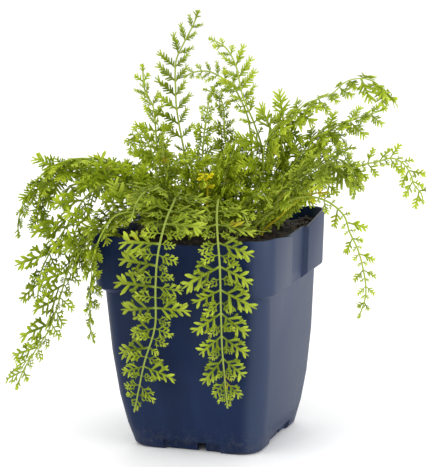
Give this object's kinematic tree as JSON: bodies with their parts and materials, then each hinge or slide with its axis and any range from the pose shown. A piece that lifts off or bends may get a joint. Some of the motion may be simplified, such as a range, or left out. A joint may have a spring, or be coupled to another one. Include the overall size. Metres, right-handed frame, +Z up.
{
  "type": "potted yarrow plant",
  "caption": "Young yarrow with finely cut feathery leaves that arch out over the rim of a square plastic nursery pot filled with dark soil.",
  "frame": {"origin": "on the ground, under the middle of the whole plant and its pot", "axes": "+Z up; +X towards the pot's right side and -Y towards its front, each square to a side of the pot"},
  "size_m": [0.2476, 0.1697, 0.2469],
  "materials": {
    "pot": "satin dark blue moulded plastic, slightly scuffed",
    "soil": "dark brown crumbly potting soil",
    "leaf_fresh": "soft bright green leaf",
    "leaf_mid": "soft mid green leaf",
    "leaf_deep": "soft deeper green leaf",
    "leaf_yellowed": "dry yellowed leaf on a brown stalk"
  },
  "bodies": {
    "root": {"pot": "pot", "soil": "soil", "leaf_front_left": "leaf_fresh", "leaf_front_right": "leaf_fresh", "leaf_front_low_left": "leaf_fresh", "leaf_front_low_mid": "leaf_fresh", "leaf_front_low_right": "leaf_fresh", "leaf_left_high": "leaf_mid", "leaf_left_loop": "leaf_mid", "leaf_left_middle": "leaf_mid", "leaf_left_long": "leaf_mid", "leaf_left_close": "leaf_deep", "leaf_left_clump": "leaf_fresh", "leaf_left_upper": "leaf_mid", "leaf_left_back": "leaf_mid", "leaf_tall": "leaf_deep", "leaf_tall_side": "leaf_mid", "leaf_upright_left": "leaf_mid", "leaf_upright_outer": "leaf_mid", "leaf_upright_bright": "leaf_fresh", "leaf_middle_left": "leaf_deep", "leaf_middle_inner": "leaf_mid", "leaf_middle": "leaf_mid", "leaf_middle_front": "leaf_mid", "leaf_middle_right": "leaf_deep", "leaf_arch_middle": "leaf_mid", "leaf_column": "leaf_fresh", "leaf_right_high": "leaf_mid", "leaf_right_slant": "leaf_mid", "leaf_right_second": "leaf_mid", "leaf_right_inner": "leaf_mid", "leaf_right_broad": "leaf_fresh", "leaf_right_third": "leaf_fresh", "leaf_right_far": "leaf_mid", "leaf_right_hanging": "leaf_mid", "leaf_right_bowed": "leaf_fresh", "leaf_near_corner": "leaf_deep", "leaf_curled": "leaf_fresh", "leaf_back_right_low": "leaf_mid", "leaf_back_right": "leaf_fresh", "leaf_back": "leaf_mid", "leaf_back_left": "leaf_fresh", "leaf_back_far_left": "leaf_mid", "leaf_yellowed_middle": "leaf_yellowed", "leaf_yellowed_right": "leaf_yellowed"}
  },
  "joints": []
}
